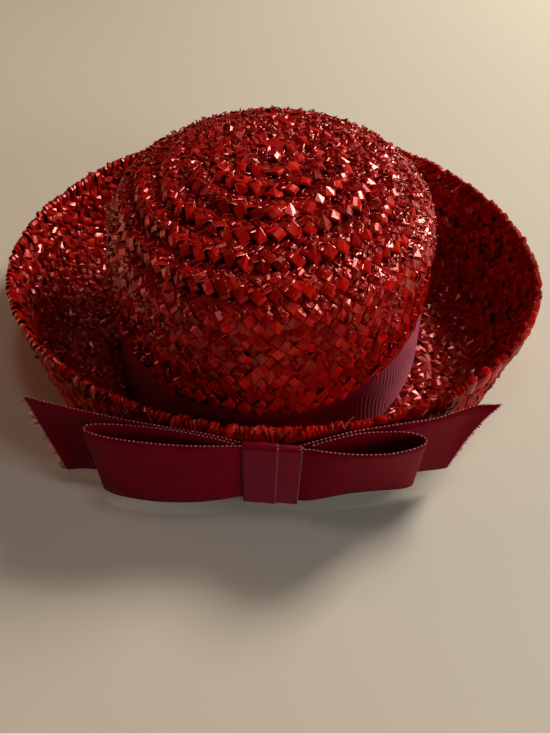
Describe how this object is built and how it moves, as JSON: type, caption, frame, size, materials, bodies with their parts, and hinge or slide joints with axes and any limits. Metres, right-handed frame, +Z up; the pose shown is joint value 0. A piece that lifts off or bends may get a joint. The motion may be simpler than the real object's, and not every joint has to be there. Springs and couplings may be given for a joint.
{
  "type": "breton hat",
  "caption": "Breton hat of glossy sewn straw braid: oval domed crown, brim turned up all round, grosgrain crown band and a flat tailored bow on the front of the brim.",
  "frame": {"origin": "bottom centre of the bounding box, on the surface that the hat stands on", "axes": "+Z up through the crown, -Y towards the front where the bow is, +X to the right as the bow is faced"},
  "size_m": [0.2792, 0.2742, 0.1057],
  "materials": {
    "straw": "gloss",
    "ribbon": "matte"
  },
  "bodies": {
    "root": {"crown": "straw", "brim": "straw", "crown_band": "ribbon", "bow_loops": "ribbon", "bow_tails": "ribbon", "bow_knot": "ribbon"}
  },
  "joints": []
}
